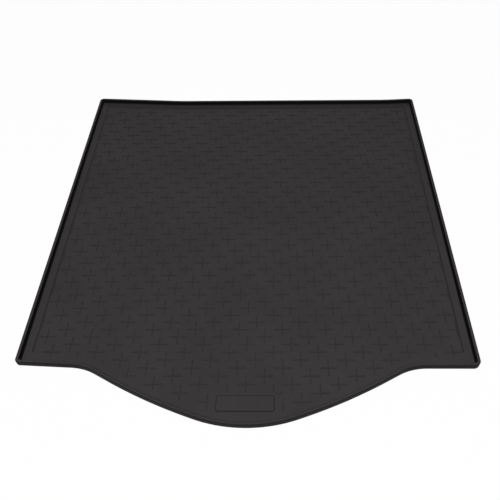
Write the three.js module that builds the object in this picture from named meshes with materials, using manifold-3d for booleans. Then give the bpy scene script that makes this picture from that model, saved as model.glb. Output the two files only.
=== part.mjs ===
// A moulded rubber boot liner: a thin floor with a low lip all round, square at the seats
// and bulging out at the tailgate.
// Millimetres. +X is right, +Y points towards the seats, +Z is up, and the liner lies on Z = 0
// with the middle of its plan at the origin.
import * as THREE from "three";
import { mergeVertices } from "three/addons/utils/BufferGeometryUtils.js";
import Module from "manifold-3d";

const wasm = await Module();
wasm.setup();

// Plan of the outer edge
const seatWidth = 1034; // across the two corners at the seats
const sillNarrowing = 9; // how much less it is across the two corners at the tailgate
const length = 1142; // from the tip of the bulge to the farther corner at the seats, the left one
const leftSweep = 17; // how far the left corner at the seats stands behind that edge's straight middle
const leftSweepRun = 272; // from that corner to where its sweep starts
const rightSweep = 6;
const rightSweepRun = 90;
const sweepRadius = 900;
const leftRise = 8; // how far the left corner at the tailgate stands back from its shoulder
const rightRise = 0;
const seatCornerRadius = 12;
const sillCornerRadius = 10;
const leastCornerRadius = 5; // of a corner inside one that its inset has used up
const bulgeDepth = 136.5; // from the tip of the bulge back to the shoulders beside it
const bulgeShift = 2.1; // of the bulge, to the right of the centre line
const tipSlope = THREE.MathUtils.degToRad(19.7); // of the edge where it leaves the tip's rounding
const tipRadius = 330;
const flankSlope = THREE.MathUtils.degToRad(29); // of the edge where it reaches a shoulder
const flankBend = 217; // from the tip to where the one slope turns into the other
const flankRadius = 1250;
const shoulderRadius = 129; // where a flank turns into its shoulder

// Section through the lip
const floorThickness = 3;
const lipHeight = 14;
const lipTopWidth = 7.2;
const lipOuterRadius = 2;
const lipInnerRadius = 1.2;
const lipDraft = 1; // how far the inner wall leans in on its way down
const lipFootRadius = 2.5; // of the fillet between the inner wall and the floor

// The bead on the floor, along the seats and both sides
const beadInset = 29.5; // from the outer edge to the bead's middle
const beadFootWidth = 3.6;
const beadCrestWidth = 1.2;
const beadHeight = 1.4;
const beadGap = 40; // left free between the bead's ends and the shoulders

// The bare plate in the bulge
const plateWidth = 124;
const plateDepth = 37;
const plateHeight = 1;
const plateBevel = 0.5;
const plateRadius = 6;
const plateFromTip = 55; // from the tip of the bulge to the plate's middle

// The tread: raised crosses, each a knight's move of treadUnit from the next
const treadUnit = 20;
const treadFromTip = 97; // from the tip of the bulge to the middle of the cross behind the plate
const crossLength = 39;
const crossWaist = 4.6; // across the foot of a cross where its ridges meet
const crossHeight = 1;
const treadInset = 28; // from the outer edge to where the crosses are cut off
const plateClearance = 6; // from the plate to where the crosses are cut off

const sink = 0.5; // how deep a raised detail reaches into the floor it stands on

const seatY = length / 2 - Math.max(leftSweep, rightSweep);
const tipY = -length / 2;
const shoulderY = tipY + bulgeDepth;

// The tip's two slopes would meet ahead of the tip, which their rounding brings back to its place.
const slopesMeetY = tipY - tipRadius * (1 / Math.cos(tipSlope) - 1);
const flankBendY = slopesMeetY + flankBend * Math.tan(tipSlope);
const shoulderX = flankBend + (shoulderY - flankBendY) / Math.tan(flankSlope);
const sillX = (seatWidth - sillNarrowing) / 2;

// One side's corners of the outer edge, from the seats to the tailgate. side is -1 on the left.
function sideCorners(side, sweepRun, sweep, rise) {
  return [
    { x: side * (seatWidth / 2 - sweepRun), y: seatY, radius: sweepRadius, steps: 2 },
    { x: (side * seatWidth) / 2, y: seatY + sweep, radius: seatCornerRadius, steps: 4 },
    { x: side * sillX, y: shoulderY + rise, radius: sillCornerRadius, steps: 4 },
    { x: bulgeShift + side * shoulderX, y: shoulderY, radius: shoulderRadius, steps: 6 },
    { x: bulgeShift + side * flankBend, y: flankBendY, radius: flankRadius, steps: 2 },
  ];
}

// Anticlockwise from above, each with the turn that the edge takes there, which is negative where it is
// hollow, and the length that a rounding of its radius takes of each edge beside it
const corners = [
  ...sideCorners(-1, leftSweepRun, leftSweep, leftRise),
  { x: bulgeShift, y: slopesMeetY, radius: tipRadius, steps: 10 },
  ...sideCorners(1, rightSweepRun, rightSweep, rightRise).reverse(),
].map(({ x, y, radius, steps }, i, all) => {
  const at = new THREE.Vector2(x, y);
  const wayIn = at.clone().sub(all.at(i - 1));
  const wayOut = at.clone().sub(all[(i + 1) % all.length]).negate();
  const turn = Math.atan2(wayIn.cross(wayOut), wayIn.dot(wayOut));
  const bite = radius * Math.abs(Math.tan(turn / 2));
  return { at, edgeBefore: wayIn.length(), wayIn: wayIn.normalize(), turn, bite, steps };
});

// Two roundings share an edge that is too short for both.
corners.forEach((corner, i) => {
  const before = corners.at(i - 1);
  const after = corners[(i + 1) % corners.length];
  const roomBefore = corner.edgeBefore / (before.bite + corner.bite);
  const roomAfter = after.edgeBefore / (corner.bite + after.bite);
  const share = Math.min(1, 0.99 * roomBefore, 0.99 * roomAfter);
  corner.radius = (share * corner.bite) / Math.abs(Math.tan(corner.turn / 2));
});

// The outer edge moved inwards by an inset. Every inset gives the same number of points.
function edgeLoop(inset) {
  return corners.flatMap(({ at, wayIn, turn, radius, steps }) => {
    const inward = new THREE.Vector2(-wayIn.y, wayIn.x);
    const rounding = turn > 0 ? Math.max(radius - inset, leastCornerRadius) : -radius - inset;
    const arcStart = at.clone().addScaledVector(inward, inset);
    arcStart.addScaledVector(wayIn, -(inset + rounding) * Math.tan(turn / 2));
    const centre = arcStart.clone().addScaledVector(inward, rounding);
    return Array.from({ length: steps + 1 }, (_, step) =>
      arcStart.clone().rotateAround(centre, (turn * step) / steps),
    );
  });
}

// A section given as points (inset, height), carried round the whole edge. A ring's section closes on
// itself. Any other starts at a flat underside and ends at a flat top.
function carriedRound(section, isRing) {
  const loops = section.map((point) => edgeLoop(point.x));
  const count = loops[0].length;
  const positions = loops.flatMap((loop, level) => loop.flatMap(({ x, y }) => [x, y, section[level].y]));
  const faces = [];
  for (let level = 0; level < loops.length - (isRing ? 0 : 1); level++) {
    const low = level * count;
    const high = ((level + 1) % loops.length) * count;
    for (let i = 0; i < count; i++) {
      const next = (i + 1) % count;
      faces.push(low + i, low + next, high + next, low + i, high + next, high + i);
    }
  }
  if (!isRing) {
    const top = (loops.length - 1) * count;
    THREE.ShapeUtils.triangulateShape(loops[0], []).forEach((face) => faces.push(...face.reverse()));
    THREE.ShapeUtils.triangulateShape(loops.at(-1), []).forEach((face) => {
      faces.push(...face.map((i) => top + i));
    });
  }
  const geometry = new THREE.BufferGeometry();
  geometry.setAttribute("position", new THREE.Float32BufferAttribute(positions, 3));
  geometry.setIndex(faces);
  return geometry;
}

// A closed geometry as a solid that can be joined and cut
function solid(geometry) {
  const bare = geometry.clone();
  bare.deleteAttribute("normal");
  bare.deleteAttribute("uv");
  const merged = mergeVertices(bare);
  return new wasm.Manifold(
    new wasm.Mesh({
      numProp: 3,
      vertProperties: merged.attributes.position.array,
      triVerts: new Uint32Array(merged.index.array),
    }),
  );
}

// Points along an arc of a section
function arc(x, y, radius, fromDegrees, toDegrees, steps) {
  return Array.from({ length: steps + 1 }, (_, step) => {
    const angle = THREE.MathUtils.degToRad(THREE.MathUtils.lerp(fromDegrees, toDegrees, step / steps));
    return new THREE.Vector2(x + radius * Math.cos(angle), y + radius * Math.sin(angle));
  });
}

// The floor and its lip: up the outer wall, over the rounded top and down the inner wall to the floor
function tray() {
  const footInset = lipTopWidth + lipDraft + lipFootRadius;
  const section = [
    new THREE.Vector2(0, 0),
    ...arc(lipOuterRadius, lipHeight - lipOuterRadius, lipOuterRadius, 180, 90, 3),
    ...arc(lipTopWidth - lipInnerRadius, lipHeight - lipInnerRadius, lipInnerRadius, 90, 0, 2),
    ...arc(footInset, floorThickness + lipFootRadius, lipFootRadius, 180, 270, 3),
  ];
  return solid(carriedRound(section, false));
}

// The bead: a low ridge with sloping sides, carried round the edge and cut off towards the tailgate
function bead() {
  const foot = floorThickness - sink;
  const crest = floorThickness + beadHeight;
  const section = [
    new THREE.Vector2(beadInset - beadFootWidth / 2, foot),
    new THREE.Vector2(beadInset - beadCrestWidth / 2, crest),
    new THREE.Vector2(beadInset + beadCrestWidth / 2, crest),
    new THREE.Vector2(beadInset + beadFootWidth / 2, foot),
  ];
  const towardsSill = new THREE.BoxGeometry(seatWidth, length, lipHeight);
  towardsSill.translate(0, shoulderY + beadGap - length / 2, 0);
  return solid(carriedRound(section, true)).subtract(solid(towardsSill));
}

// The plate: a raised rectangle with round corners and bevelled edges
function plate() {
  const radius = plateRadius - plateBevel;
  const x = plateWidth / 2 - plateRadius;
  const y = plateDepth / 2 - plateRadius;
  const outline = new THREE.Shape();
  outline.absarc(x, y, radius, 0, Math.PI / 2);
  outline.absarc(-x, y, radius, Math.PI / 2, Math.PI);
  outline.absarc(-x, -y, radius, Math.PI, 1.5 * Math.PI);
  outline.absarc(x, -y, radius, 1.5 * Math.PI, 2 * Math.PI);
  const raised = new THREE.ExtrudeGeometry(outline, {
    depth: sink + plateHeight - plateBevel,
    bevelThickness: plateBevel,
    bevelSize: plateBevel,
    bevelSegments: 1,
    curveSegments: 4,
  });
  raised.translate(0, tipY + plateFromTip, floorThickness - sink);
  return solid(raised);
}

// One cross: four ridges that fall from a shared peak to their tips, so that it is a star from above.
// Its flanks run on into the floor.
function cross(x, y) {
  const spread = 1 + sink / crossHeight;
  const positions = [x, y, floorThickness + crossHeight, x, y, floorThickness - sink];
  const faces = [];
  for (let i = 0; i < 8; i++) {
    const radius = spread * (i % 2 ? crossWaist * Math.SQRT1_2 : crossLength / 2);
    const angle = (i * Math.PI) / 4;
    positions.push(x + radius * Math.cos(angle), y + radius * Math.sin(angle), floorThickness - sink);
    const corner = 2 + i;
    const next = 2 + ((i + 1) % 8);
    faces.push(0, corner, next, 1, next, corner);
  }
  const geometry = new THREE.BufferGeometry();
  geometry.setAttribute("position", new THREE.Float32BufferAttribute(positions, 3));
  geometry.setIndex(faces);
  return solid(geometry);
}

// The crosses that fall on the liner, cut off along its edge and round the plate
function tread() {
  const crosses = [];
  const reach = Math.ceil(length / treadUnit);
  for (let i = -reach; i <= reach; i++) {
    for (let j = -reach; j <= reach; j++) {
      const x = (2 * i - j) * treadUnit;
      const y = tipY + treadFromTip + (i + 2 * j) * treadUnit;
      if (Math.abs(x) < seatWidth / 2 && Math.abs(y) < length / 2) crosses.push(cross(x, y));
    }
  }
  const wall = [0, lipHeight].map((height) => new THREE.Vector2(treadInset, height));
  const field = carriedRound(wall, false);
  const roundPlate = new THREE.BoxGeometry(
    plateWidth + 2 * plateClearance,
    plateDepth + 2 * plateClearance,
    2 * lipHeight,
  );
  roundPlate.translate(0, tipY + plateFromTip, 0);
  return wasm.Manifold.union(crosses).intersect(solid(field)).subtract(solid(roundPlate));
}

function bootLiner() {
  const whole = tray().add(tread()).add(bead()).add(plate());
  const { vertProperties, triVerts } = whole.getMesh();
  const geometry = new THREE.BufferGeometry();
  geometry.setAttribute("position", new THREE.BufferAttribute(vertProperties, 3));
  geometry.setIndex(new THREE.BufferAttribute(triVerts, 1));
  geometry.computeVertexNormals();
  const rubber = new THREE.MeshStandardMaterial({ color: 0x363335, roughness: 0.7, metalness: 0 });
  const liner = new THREE.Mesh(geometry, rubber);
  liner.name = "boot_liner";
  return liner;
}

const carBootLiner = new THREE.Group();
carBootLiner.add(bootLiner());

export default carBootLiner;
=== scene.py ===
from math import atan2, ceil, cos, radians, sin, tan

import bpy
from mathutils import Matrix, Vector


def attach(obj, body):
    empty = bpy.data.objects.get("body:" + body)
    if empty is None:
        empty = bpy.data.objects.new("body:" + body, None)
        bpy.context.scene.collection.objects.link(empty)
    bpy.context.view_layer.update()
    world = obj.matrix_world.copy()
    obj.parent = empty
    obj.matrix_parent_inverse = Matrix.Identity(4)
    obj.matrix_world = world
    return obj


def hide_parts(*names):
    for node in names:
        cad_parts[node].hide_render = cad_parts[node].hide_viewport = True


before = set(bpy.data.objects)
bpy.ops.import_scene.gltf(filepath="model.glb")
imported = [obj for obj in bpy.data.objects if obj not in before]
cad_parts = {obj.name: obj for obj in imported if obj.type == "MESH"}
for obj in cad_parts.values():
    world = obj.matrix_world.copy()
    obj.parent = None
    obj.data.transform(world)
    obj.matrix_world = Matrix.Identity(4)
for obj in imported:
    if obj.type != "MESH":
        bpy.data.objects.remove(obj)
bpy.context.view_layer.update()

mm = 0.001  # sizes of the liner are in millimetres
capMargin = 1  # how far inside its edge a flat cap starts
grainSlot, crossSlot, edgeSlot, outsideSlot, insideSlot = range(5)  # material slots of the liner's mesh: the grain, then smooth tones that hold painted shade


# Shader maths: a socket that takes part in Python expressions, and a node tree that makes any node
class Wire:
    def __init__(self, tree, socket):
        self.tree = tree
        self.socket = socket

    def __add__(self, other):
        return self.tree.maths("ADD", self, other)

    def __mul__(self, other):
        return self.tree.maths("MULTIPLY", self, other)

    __radd__ = __add__
    __rmul__ = __mul__


class Tree:
    def __init__(self, owner):  # a material or a world
        owner.use_nodes = True
        self.nodes = owner.node_tree.nodes
        self.links = owner.node_tree.links
        self.nodes.clear()

    def node(self, kind, settings=None, sockets=None, output=0):
        made = self.nodes.new(kind)
        for name, value in (settings or {}).items():
            setattr(made, name, value)
        for name, value in (sockets or {}).items():
            if isinstance(value, Wire):
                self.links.new(value.socket, made.inputs[name])
            else:
                made.inputs[name].default_value = value
        return Wire(self, made.outputs[output]) if len(made.outputs) else made

    def maths(self, operation, first, second):
        return self.node("ShaderNodeMath", {"operation": operation}, {0: first, 1: second})

    def noise(self, place, scale, detail):
        return self.node("ShaderNodeTexNoise", sockets={"Vector": place, "Scale": scale, "Detail": detail})

    def spread(self, wire, low, high):  # from 0 to 1 between low and high
        return self.node("ShaderNodeMapRange", sockets={0: wire, 1: low, 2: high})

    def mixedColour(self, share, first, second):
        return self.node(
            "ShaderNodeMix", {"data_type": "RGBA"}, {0: share, 6: first, 7: second}, output=2
        )


plan = {
    "seatWidth": 1034,  # across the two corners at the seats
    "sillNarrowing": 9,  # how much less it is across the two corners at the tailgate
    "length": 1142,
    "leftSweep": 17,  # how far the left corner at the seats stands behind that edge's middle
    "leftSweepRun": 272,
    "rightSweep": 6,
    "rightSweepRun": 90,
    "sweepRadius": 900,
    "leftRise": 8,  # how far the left corner at the tailgate stands back from its shoulder
    "rightRise": 0,
    "seatCornerRadius": 12,
    "leftSillRadius": 10,  # of the corners at the tailgate
    "rightSillRadius": 15,
    "leastCornerRadius": 5,
    "fullest": 0.99,  # share of an edge that the roundings at its ends may use
    "bulgeDepth": 136.5,
    "bulgeShift": 2.1,  # to the right of the centre line
    "tipSlope": radians(19.7),
    "tipRadius": 330,
    "flankSlope": radians(29),
    "flankBend": 217,
    "flankRadius": 1250,
    "shoulderRadius": 129,
}
lip = {
    "floor": 3,  # thickness of the floor
    "height": 14,
    "topWidth": 7.2,
    "baseRadius": 0.8,
    "outerRadius": 2,
    "innerRadius": 1.2,
    "draft": 1,
    "footRadius": 2.5,
    "rimLevels": 4,  # of the section, from the outer rounding inwards, that are grained
}

seatY = plan["length"] / 2 - max(plan["leftSweep"], plan["rightSweep"])
tipY = -plan["length"] / 2
shoulderY = tipY + plan["bulgeDepth"]


# One side's corners as (x, y, radius, steps), from the seats to the tip of the bulge
def sideCorners(side, sweepRun, sweep, rise, sillRadius):
    slopesMeetY = tipY - plan["tipRadius"] * (1 / cos(plan["tipSlope"]) - 1)
    flankBendY = slopesMeetY + plan["flankBend"] * tan(plan["tipSlope"])
    shoulderX = plan["flankBend"] + (shoulderY - flankBendY) / tan(plan["flankSlope"])
    return [
        (side * (plan["seatWidth"] / 2 - sweepRun), seatY, plan["sweepRadius"], 8),
        (side * plan["seatWidth"] / 2, seatY + sweep, plan["seatCornerRadius"], 12),
        (side * (plan["seatWidth"] - plan["sillNarrowing"]) / 2, shoulderY + rise, sillRadius, 12),
        (plan["bulgeShift"] + side * shoulderX, shoulderY, plan["shoulderRadius"], 16),
        (plan["bulgeShift"] + side * plan["flankBend"], flankBendY, plan["flankRadius"], 8),
        (plan["bulgeShift"], slopesMeetY, plan["tipRadius"], 36),
    ]


# Each corner as (place, way in, turn, radius, steps), with roundings that share an edge held to it
def planCorners():
    values = ("SweepRun", "Sweep", "Rise", "SillRadius")
    left = sideCorners(-1, *(plan["left" + value] for value in values))
    right = sideCorners(1, *(plan["right" + value] for value in values))
    given = left + right[-2::-1]
    places = [Vector(corner[:2]) for corner in given]
    ways = [place - places[i - 1] for i, place in enumerate(places)]
    turns, bites = [], []
    for i, corner in enumerate(given):
        wayOut = ways[(i + 1) % len(ways)]
        turns.append(atan2(ways[i].cross(wayOut), ways[i].dot(wayOut)))
        bites.append(corner[2] * abs(tan(turns[i] / 2)))
    rounded = []
    for i, (x, y, radius, steps) in enumerate(given):
        after = (i + 1) % len(given)
        roomBefore = ways[i].length / (bites[i - 1] + bites[i])
        roomAfter = ways[after].length / (bites[i] + bites[after])
        share = min(1, plan["fullest"] * roomBefore, plan["fullest"] * roomAfter)
        rounded.append((places[i], ways[i].normalized(), turns[i], share * radius, steps))
    return rounded


corners = planCorners()


# The outer edge moved inwards by an inset, always with the same number of points
def edgeLoop(inset):
    loop = []
    for place, wayIn, turn, radius, steps in corners:
        inward = Vector((-wayIn.y, wayIn.x))
        rounding = max(radius - inset, plan["leastCornerRadius"]) if turn > 0 else -radius - inset
        arcStart = place + inward * inset - wayIn * (inset + rounding) * tan(turn / 2)
        centre = arcStart + inward * rounding
        for step in range(steps + 1):
            loop.append(centre + Matrix.Rotation(turn * step / steps, 2) @ (arcStart - centre))
    return loop


# Rings of points joined into one skin. Unless it closes on itself, both its ends are capped.
def skinOf(rings, closes=False):
    count = len(rings[0])
    vertices = [point for ring in rings for point in ring]
    faces = []
    for level in range(len(rings) - (0 if closes else 1)):
        low, high = level * count, (level + 1) % len(rings) * count
        for i in range(count):
            after = (i + 1) % count
            faces.append((low + i, low + after, high + after, high + i))
    if not closes:
        faces.append(tuple(range(count))[::-1])
        faces.append(tuple(range(len(vertices) - count, len(vertices))))
    return vertices, faces


# A section of (inset, height) points carried round the plan
def carriedRound(section, closes=False):
    return skinOf([[(p.x, p.y, z) for p in edgeLoop(inset)] for inset, z in section], closes)


# An upright block over an outline, as high as the lip
def blockOver(outline):
    return skinOf([[(x, y, z) for x, y in outline] for z in (0, lip["height"])])


def arc(x, z, radius, start, end, steps):
    angles = [radians(start + (end - start) * step / steps) for step in range(steps + 1)]
    return [(x + radius * cos(angle), z + radius * sin(angle)) for angle in angles]


# The slot is a number, or a function that gives each face its own
def makeObject(name, skin, slot):
    vertices, faces = skin
    mesh = bpy.data.meshes.new(name)
    mesh.from_pydata([Vector(vertex) * mm for vertex in vertices], [], faces)
    for linerMaterial in linerMaterials:
        mesh.materials.append(linerMaterial)
    for face in mesh.polygons:
        face.material_index = slot(face) if callable(slot) else slot
    made = bpy.data.objects.new(name, mesh)
    bpy.context.scene.collection.objects.link(made)
    return made


# Joins the second solid to the first, or cuts the first by it, and uses the second up
def combine(first, operation, second):
    joint = first.modifiers.new("joint", "BOOLEAN")
    joint.operation = operation
    joint.solver = "MANIFOLD"
    joint.material_mode = "INDEX"
    joint.object = second
    evaluated = first.evaluated_get(bpy.context.evaluated_depsgraph_get())
    mesh = bpy.data.meshes.new_from_object(evaluated)
    first.modifiers.clear()
    first.data = mesh
    bpy.data.objects.remove(second)
    return first


# Surfaces of the rubber: the grain, and smooth tones that are partly a darker smooth rubber and partly
# painted shade. Colours are linear, scales are per metre and depths are in metres.
grain = {
    "dark": (0.0330, 0.0294, 0.0313, 1),
    "pale": (0.0404, 0.0360, 0.0383, 1),
    "cloudScale": 5.5,  # slow drifts of tone
    "mottleScale": 70,
    "cloudShare": 0.6,  # of the clouds in the tone, against the mottle
    "pebbleScale": 900,  # the grain that the mould leaves
    "pebbleSmoothness": 0.4,
    "pebbleShare": 0.8,  # of the pebbles in the relief, against the mottle
    "reliefDepth": 0.00012,
    "roughness": (0.62, 0.76),
    "specular": 0.06,
}
smoothAndShade = {
    "cross": 0.0321,  # mean colour on the crosses, a little darker than the grain as painted shade of their flanks
    "edge": 0.0245,  # on the bead, darker as painted shade of its flanks
    "outside": 0.0160,  # on the lip's outer wall and round the plate, darker as painted shade
    "inside": 0.0050,  # on the lip's inner wall down to its foot, nearly black as painted shade
    "tint": (1.045, 0.935, 1.000),
    "change": 0.1,  # share by which a colour drifts either way
    "cloudScale": 9,
    "mottleScale": 160,
    "cloudShare": 0.5,
    "waveScale": 400,
    "waveDetail": 2,
    "reliefDepth": 0.00004,
    "roughness": (0.50, 0.60),
    "specular": 0.03,
}
drift = {  # in both kinds of finish: detail of the noise, and the part of its range that is used
    "cloudDetail": 3,
    "cloudRange": (0.35, 0.65),
    "mottleDetail": 4,
    "mottleRange": (0.3, 0.7),
}


# A tone from 0 to 1 out of clouds and mottle, and the mottle by itself
def toneOf(tree, place, look):
    clouds = tree.noise(place, look["cloudScale"], drift["cloudDetail"])
    mottle = tree.noise(place, look["mottleScale"], drift["mottleDetail"])
    cloudTone = tree.spread(clouds, *drift["cloudRange"])
    mottleTone = tree.spread(mottle, *drift["mottleRange"])
    return look["cloudShare"] * cloudTone + (1 - look["cloudShare"]) * mottleTone, mottle


def dress(tree, look, colour, mottle, relief):
    low, high = look["roughness"]
    normal = tree.node(
        "ShaderNodeBump", sockets={"Strength": 1, "Distance": look["reliefDepth"], "Height": relief}
    )
    shader = tree.node("ShaderNodeBsdfPrincipled", sockets={
        "Base Color": colour,
        "Roughness": low + (high - low) * mottle,
        "Specular IOR Level": look["specular"],
        "Normal": normal,
    })
    tree.node("ShaderNodeOutputMaterial", sockets={"Surface": shader})


def grainedRubber():
    material = bpy.data.materials.new("grained_rubber")
    tree = Tree(material)
    place = tree.node("ShaderNodeTexCoord", output="Object")
    tone, mottle = toneOf(tree, place, grain)
    pebbles = tree.node(
        "ShaderNodeTexVoronoi", {"feature": "SMOOTH_F1"},
        {"Vector": place, "Scale": grain["pebbleScale"], "Smoothness": grain["pebbleSmoothness"]},
    )
    relief = grain["pebbleShare"] * pebbles + (1 - grain["pebbleShare"]) * mottle
    dress(tree, grain, tree.mixedColour(tone, grain["dark"], grain["pale"]), mottle, relief)
    return material


# A smooth rubber for each tone; the tones hold painted shade
def smoothRubberWithShade(name):
    material = bpy.data.materials.new(name + "_rubber")
    tree = Tree(material)
    place = tree.node("ShaderNodeTexCoord", output="Object")
    tone, mottle = toneOf(tree, place, smoothAndShade)
    waves = tree.noise(place, smoothAndShade["waveScale"], smoothAndShade["waveDetail"])
    dark, pale = (
        [smoothAndShade[name] * share * (1 + side * smoothAndShade["change"]) for share in smoothAndShade["tint"]] + [1]
        for side in (-1, 1)
    )
    dress(tree, smoothAndShade, tree.mixedColour(tone, dark, pale), mottle, waves)
    return material


smoothShadeNames = ("cross", "edge", "outside", "inside")  # in the order of their slots
linerMaterials = [grainedRubber(), *(smoothRubberWithShade(name) for name in smoothShadeNames)]
print("finishes made")


# The floor and the lip round it: up the outer wall, over the top and down to the floor
def makeTray():
    top, foot = lip["height"], lip["topWidth"] + lip["draft"] + lip["footRadius"]
    base, outer, inner = lip["baseRadius"], lip["outerRadius"], lip["innerRadius"]
    outside = [
        (base + capMargin, 0),
        *arc(base, base, base, 270, 180, 4),
        *arc(outer, top - outer, outer, 180, 90, 6),
    ]
    inside = [
        *arc(lip["topWidth"] - inner, top - inner, inner, 90, 0, 5),
        *arc(foot, lip["floor"] + lip["footRadius"], lip["footRadius"], 180, 270, 8),
        (foot + capMargin, lip["floor"]),
    ]
    # The outer wall takes the outside tone and the inner wall down to its foot the inside tone, both
    # darker than the grain as painted shade
    slots = [
        grainSlot,
        *[outsideSlot] * (len(outside) - 2),
        *[grainSlot] * lip["rimLevels"],
        *[insideSlot] * (len(inside) - lip["rimLevels"] - 1),
        grainSlot,
        grainSlot,  # of the two caps
    ]
    perLevel = len(edgeLoop(0))
    skin = carriedRound(outside + inside)
    return makeObject("moulded_liner", skin, lambda face: slots[face.index // perLevel])


bead = {
    "inset": 29.5,  # from the outer edge to its middle
    "width": 3.4,
    "height": 1.4,
    "steps": 9,  # over its crown
    "gap": 40,  # left free between its ends and the shoulders
    "sink": 0.5,
}


def makeBead():
    half, low = bead["width"] / 2, lip["floor"] - bead["sink"]
    section = [(bead["inset"] - half, low)]
    for inset, rise in arc(0, 0, 1, 180, 0, bead["steps"]):
        section.append((bead["inset"] + half * inset, lip["floor"] + bead["height"] * rise))
    section.append((bead["inset"] + half, low))
    # The bead takes the edge tone, darker than the grain as painted shade of its flanks
    ring = makeObject("bead", carriedRound(section, closes=True), edgeSlot)
    reach, end = plan["seatWidth"], shoulderY + bead["gap"]
    beyond = [(-reach, end), (-reach, end - reach), (reach, end - reach), (reach, end)]
    return combine(ring, "DIFFERENCE", makeObject("bead_end", blockOver(beyond), edgeSlot))


plate = {
    "width": 124,
    "depth": 37,
    "height": 1.6,
    "bevel": 1.7,
    "bevelAngles": (30, 60, 90),
    "radius": 6,
    "fromTip": 53,  # from the tip of the bulge to its middle
    "sideClearance": 1.5,  # from its ends to the crosses
    "topClearance": 8,
    "lowClearance": 15.5,  # from its ends to the crosses nearer the tip than its upper edge
    "sink": 0.5,
}


def roundedRectangle(width, depth, radius, x, y, z, steps=8):
    ring = []
    for quarter, (a, b) in enumerate(((1, 1), (-1, 1), (-1, -1), (1, -1))):
        for step in range(steps + 1):
            angle = radians(90 * (quarter + step / steps))
            ring.append((
                x + a * (width / 2 - radius) + radius * cos(angle),
                y + b * (depth / 2 - radius) + radius * sin(angle),
                z,
            ))
    return ring


def makePlate():
    levels = [(0, -plate["sink"]), (0, 0)]
    for angle in map(radians, plate["bevelAngles"]):
        levels.append((plate["bevel"] * (1 - cos(angle)), plate["height"] * sin(angle)))
    levels.append((plate["bevel"] + capMargin, plate["height"]))
    rings = []
    for inset, height in levels:
        width, depth = plate["width"] - 2 * inset, plate["depth"] - 2 * inset
        middle = (0, tipY + plate["fromTip"], lip["floor"] + height)
        rings.append(roundedRectangle(width, depth, plate["radius"] - inset, *middle))
    flat = 0.999  # a top face's normal points up by at least this much
    # The plate's top is grained and its sloping sides take the outside tone, darker as painted shade
    return makeObject(
        "plate", skinOf(rings), lambda face: grainSlot if face.normal.z > flat else outsideSlot
    )


tread = {
    "unit": 20,  # each cross is a knight's move of this unit from the next
    "fromTip": 97,  # from the tip of the bulge to the middle of the cross behind the plate
    "length": 39,
    "acrossWidth": 2.8,  # of the arms that run from side to side
    "alongWidth": 1.8,  # of the arms that run towards the seats
    "height": 1.5,
    "crownDraw": 0.75,  # share of the half width by which an arm draws in up to its crown
    "crownAngles": (35, 65, 90),
    "endSteps": 4,
    "inset": 28,  # from the outer edge to where the crosses are cut off
    "leastReach": 6,  # of an arm into the field, without which its cross is left out
    "sink": 0.4,
}


# A cross with round ends as rings of points that draw in towards its crown
def crossRings(x, y):
    across, along = tread["acrossWidth"] / 2, tread["alongWidth"] / 2
    levels = [(1, -tread["sink"]), (1, 0)]
    for angle in map(radians, tread["crownAngles"]):
        levels.append((1 - tread["crownDraw"] * (1 - cos(angle)), tread["height"] * sin(angle)))
    rings = []
    for share, height in levels:
        ring = []
        for quarter in range(4):
            turned = Matrix.Rotation(radians(90 * quarter), 2)
            half, otherHalf = (along, across) if quarter % 2 else (across, along)
            for step in range(tread["endSteps"] + 1):
                angle = radians(180 * step / tread["endSteps"] - 90)
                end = tread["length"] / 2 - half + share * half * cos(angle)
                ring.append(turned @ Vector((end, share * half * sin(angle))))
            ring.append(turned @ Vector((share * otherHalf, share * half)))
        rings.append([(x + p.x, y + p.y, lip["floor"] + height) for p in ring])
    return rings


def isInside(x, y, loop):
    crossed = 0
    for a, b in zip(loop, loop[1:] + loop[:1]):
        if (a.y > y) != (b.y > y) and x < a.x + (b.x - a.x) * (y - a.y) / (b.y - a.y):
            crossed += 1
    return crossed % 2 == 1


# Outline of the room round the plate that stays free of crosses
def plateRoom():
    upper = tipY + plate["fromTip"] + plate["depth"] / 2
    side, lowSide = (plate["width"] / 2 + plate[name] for name in ("sideClearance", "lowClearance"))
    right = [(lowSide, tipY), (lowSide, upper), (side, upper), (side, upper + plate["topClearance"])]
    return right + [(-x, y) for x, y in reversed(right)]


def makeTread():
    vertices, faces = [], []
    reach = ceil(plan["length"] / tread["unit"])
    border = edgeLoop(tread["inset"])
    arm = tread["length"] / 2 - tread["leastReach"]
    ends = [(arm, 0), (0, arm), (-arm, 0), (0, -arm)]
    for i in range(-reach, reach + 1):
        for j in range(-reach, reach + 1):
            x = (2 * i - j) * tread["unit"]
            y = tipY + tread["fromTip"] + (i + 2 * j) * tread["unit"]
            if any(isInside(x + dx, y + dy, border) for dx, dy in ends):
                crossVertices, crossFaces = skinOf(crossRings(x, y))
                faces += [tuple(len(vertices) + k for k in face) for face in crossFaces]
                vertices += crossVertices
    # The crosses take the cross tone, a little darker than the grain as painted shade of their flanks
    crosses = makeObject("tread", (vertices, faces), crossSlot)
    combine(crosses, "INTERSECT", makeObject("field", blockOver(border), crossSlot))
    return combine(
        crosses, "DIFFERENCE", makeObject("plate_room", blockOver(plateRoom()), crossSlot)
    )


def makeLiner():
    made = makeTray()
    for detail in (makeTread(), makeBead(), makePlate()):
        combine(made, "UNION", detail)
    made.data.shade_smooth()
    made.data.set_sharp_from_angle(angle=radians(38))
    return made


liner = makeLiner()
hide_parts("boot_liner")
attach(liner, "root")
liner.data.calc_loop_triangles()
print("liner made:", len(liner.data.loop_triangles), "triangles")


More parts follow.
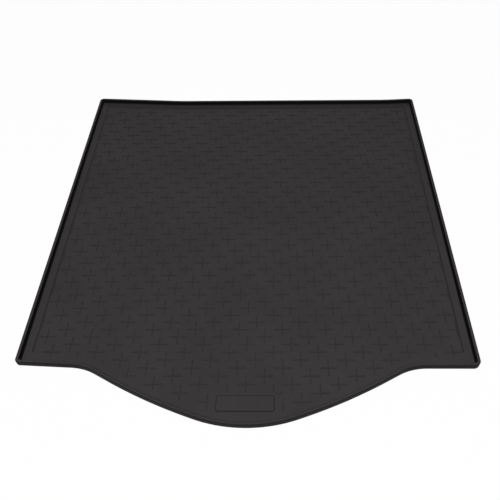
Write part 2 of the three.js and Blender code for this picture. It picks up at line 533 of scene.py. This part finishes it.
# Floor and light of the studio, in metres and watts
studio = {
    "floorColour": (0.8, 0.8, 0.8, 1),
    "floorSize": 14,
    "floorDrop": 0.0001,  # below the liner's underside
    "floorWhite": 0.97,  # share of plain white that the camera sees in the floor
    "worldColour": (1, 1, 1, 1),
    "lamps": {  # place, size and power of each
        "key": ((0, -1.4, 2.4), (2, 1.4), 79),
        "rear": ((0, 7.2, 3.4), (5, 3), 122),
    },
}


def seenDirectly(tree):  # 1 on a camera, glossy or transmission ray
    camera, glossy, transmission = (
        tree.node("ShaderNodeLightPath", output=f"Is {kind} Ray")
        for kind in ("Camera", "Glossy", "Transmission")
    )
    return tree.maths("MAXIMUM", camera, tree.maths("MAXIMUM", glossy, transmission))


def makeFloor():
    half = studio["floorSize"] / 2
    square = [(-half, -half, 0), (half, -half, 0), (half, half, 0), (-half, half, 0)]
    mesh = bpy.data.meshes.new("studio_floor")
    mesh.from_pydata(square, [], [(0, 1, 2, 3)])
    material = bpy.data.materials.new("pale_floor")
    tree = Tree(material)
    diffuse = tree.node("ShaderNodeBsdfDiffuse", sockets={"Color": studio["floorColour"]})
    white = tree.node("ShaderNodeEmission", sockets={"Strength": 1})
    share = studio["floorWhite"] * seenDirectly(tree)
    mixed = tree.node("ShaderNodeMixShader", sockets={0: share, 1: diffuse, 2: white})
    tree.node("ShaderNodeOutputMaterial", sockets={"Surface": mixed})
    mesh.materials.append(material)
    floor = bpy.data.objects.new("studio_floor", mesh)
    floor.location.z = -studio["floorDrop"]
    bpy.context.scene.collection.objects.link(floor)


# The lamps all point at the middle of the liner
def makeLight():
    for name, (place, size, power) in studio["lamps"].items():
        lamp = bpy.data.lights.new(name, "AREA")
        lamp.shape = "RECTANGLE"
        lamp.size, lamp.size_y = size
        lamp.energy = power
        holder = bpy.data.objects.new(name, lamp)
        holder.location = place
        holder.rotation_euler = (-holder.location).to_track_quat("-Z", "Y").to_euler()
        bpy.context.scene.collection.objects.link(holder)
    world = bpy.data.worlds.new("studio")
    tree = Tree(world)
    light = tree.node("ShaderNodeBackground", sockets={
        "Color": studio["worldColour"],
        "Strength": seenDirectly(tree),
    })
    tree.node("ShaderNodeOutputWorld", sockets={"Surface": light})
    bpy.context.scene.world = world


# The photograph's viewpoint
view = {
    "place": (64.0, -1064.65, 1125.2),  # millimetres
    "azimuth": 1.354,
    "elevation": 49.068,
    "roll": -1.149,
    "sensor": 36,
    "lens": 41.391,
    "shift": -0.03253,
    "farthest": 50,  # metres
}


def makeCamera():
    azimuth, elevation, roll = (radians(view[name]) for name in ("azimuth", "elevation", "roll"))
    ahead = Vector((-sin(azimuth) * cos(elevation), cos(azimuth) * cos(elevation), -sin(elevation)))
    level = Vector((cos(azimuth), sin(azimuth), 0))
    upright = level.cross(ahead)
    right = level * cos(roll) + upright * sin(roll)
    up = upright * cos(roll) - level * sin(roll)
    data = bpy.data.cameras.new("camera")
    data.sensor_width = view["sensor"]
    data.lens = view["lens"]
    data.shift_x = view["shift"]
    data.clip_end = view["farthest"]
    camera = bpy.data.objects.new("camera", data)
    turned = Matrix((right, up, -ahead)).transposed().to_4x4()
    camera.matrix_world = Matrix.Translation(Vector(view["place"]) * mm) @ turned
    bpy.context.scene.collection.objects.link(camera)
    bpy.context.scene.camera = camera


makeFloor()
makeLight()
makeCamera()
bpy.context.scene.view_settings.view_transform = "Standard"
print("studio made")
